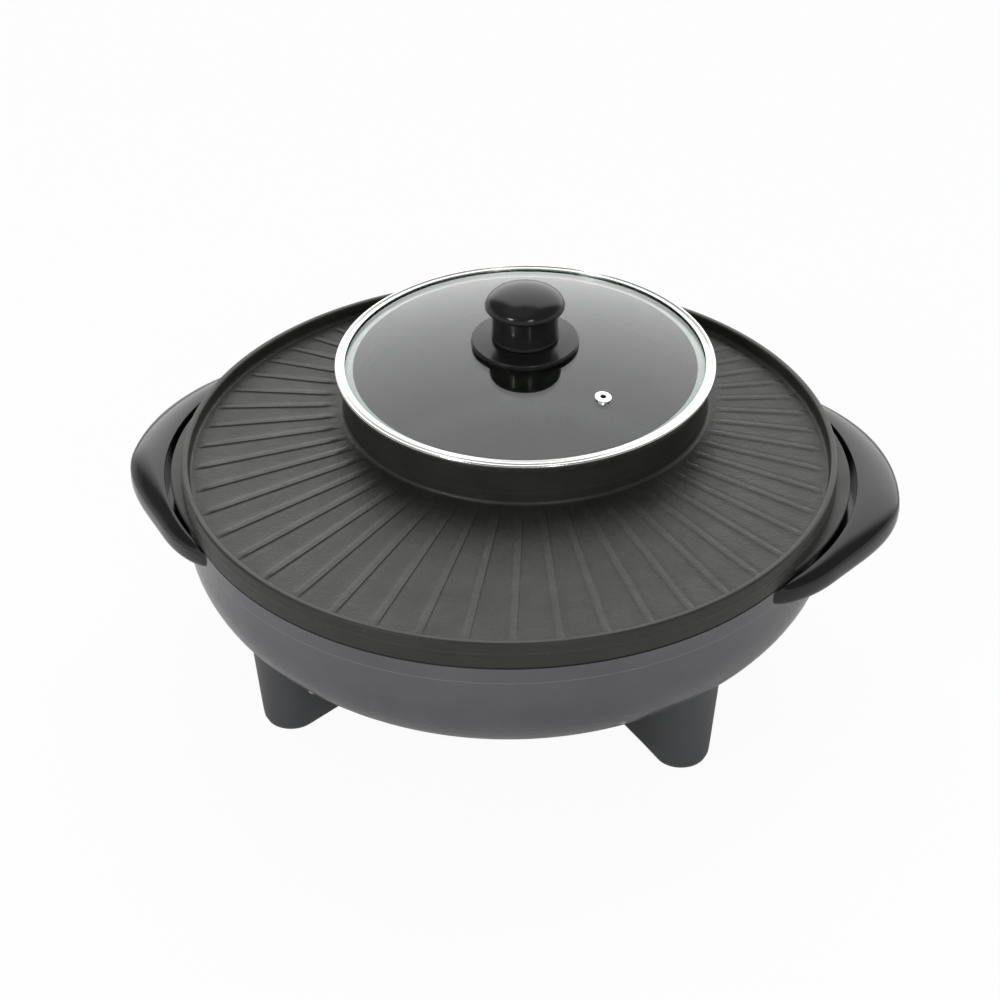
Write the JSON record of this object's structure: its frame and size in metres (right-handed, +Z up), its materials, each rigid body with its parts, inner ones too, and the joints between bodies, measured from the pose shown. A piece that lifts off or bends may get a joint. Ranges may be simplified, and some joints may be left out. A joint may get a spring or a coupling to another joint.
{
  "type": "electric hot pot",
  "caption": "Round electric grill pan with a sunken soup pot, lift-off glass lid, side handles and tapered feet.",
  "frame": {"origin": "on the table under the centre of the round pan", "axes": "+Z up, +Y from the open grill towards the pot and its lid, +X towards the right handle"},
  "size_m": [0.454, 0.38, 0.2175],
  "materials": {
    "bowl_plastic": "glossy dark grey moulded plastic",
    "bracket_steel": "plain pressed steel",
    "earth_insulation": "green and yellow silicone insulation",
    "element_steel": "annealed steel tube",
    "foot_plastic": "satin dark grey moulded plastic",
    "foot_rubber": "matt black rubber",
    "fuse_ceramic": "white ceramic fuse body",
    "handle_plastic": "glossy black moulded plastic",
    "inlet_plastic": "matt black heat-resistant plastic",
    "insert_brass": "turned brass",
    "knob_plastic": "satin black moulded plastic",
    "lid_glass": "clear tempered glass",
    "live_insulation": "brown silicone insulation",
    "neutral_insulation": "blue silicone insulation",
    "pan_coating": "matt dark grey non-stick coating with a fine grain",
    "pin_steel": "bright stainless steel",
    "plate_metal": "black painted steel sheet",
    "rim_steel": "polished stainless steel",
    "screw_steel": "plated steel",
    "shield_metal": "bright aluminised steel sheet",
    "silicone": "black silicone",
    "sleeve_plastic": "white glass-fibre sleeve",
    "vent_steel": "polished stainless steel"
  },
  "bodies": {
    "base": {"bottom_plate": "plate_metal", "clamp_screws": "screw_steel", "earth_lead": "earth_insulation", "element_clamps": "bracket_steel", "element_sleeves": "sleeve_plastic", "foot_front_left": "foot_plastic", "foot_front_right": "foot_plastic", "foot_pad_front_left": "foot_rubber", "foot_pad_front_right": "foot_rubber", "foot_pad_rear_left": "foot_rubber", "foot_pad_rear_right": "foot_rubber", "foot_rear_left": "foot_plastic", "foot_rear_right": "foot_plastic", "foot_screws": "screw_steel", "grill_element": "element_steel", "grill_pan": "pan_coating", "handle_screws": "screw_steel", "heat_shield": "shield_metal", "housing_bowl": "bowl_plastic", "inlet_pin_live": "pin_steel", "inlet_pin_neutral": "pin_steel", "inlet_screws": "screw_steel", "inlet_shroud": "inlet_plastic", "left_handle": "handle_plastic", "live_lead": "live_insulation", "live_link": "live_insulation", "neutral_lead": "neutral_insulation", "neutral_link": "neutral_insulation", "pan_screws": "screw_steel", "plate_screws": "screw_steel", "pot_element": "element_steel", "probe_tube": "pin_steel", "right_handle": "handle_plastic", "shield_posts": "bracket_steel", "shield_screws": "screw_steel", "thermal_fuse": "fuse_ceramic"},
    "lid": {"lid_glass": "lid_glass", "lid_rim_band": "rim_steel", "steam_vent": "vent_steel", "knob_disc": "knob_plastic", "knob": "knob_plastic", "knob_insert": "insert_brass", "knob_gasket": "silicone", "knob_lower_gasket": "silicone", "knob_washer": "screw_steel", "knob_screw": "screw_steel"}
  },
  "joints": [
    {"name": "lid_lift", "type": "slide", "parent": "base", "child": "lid", "axis": [0, 0, 1], "range_m": [0, 0.09]}
  ]
}
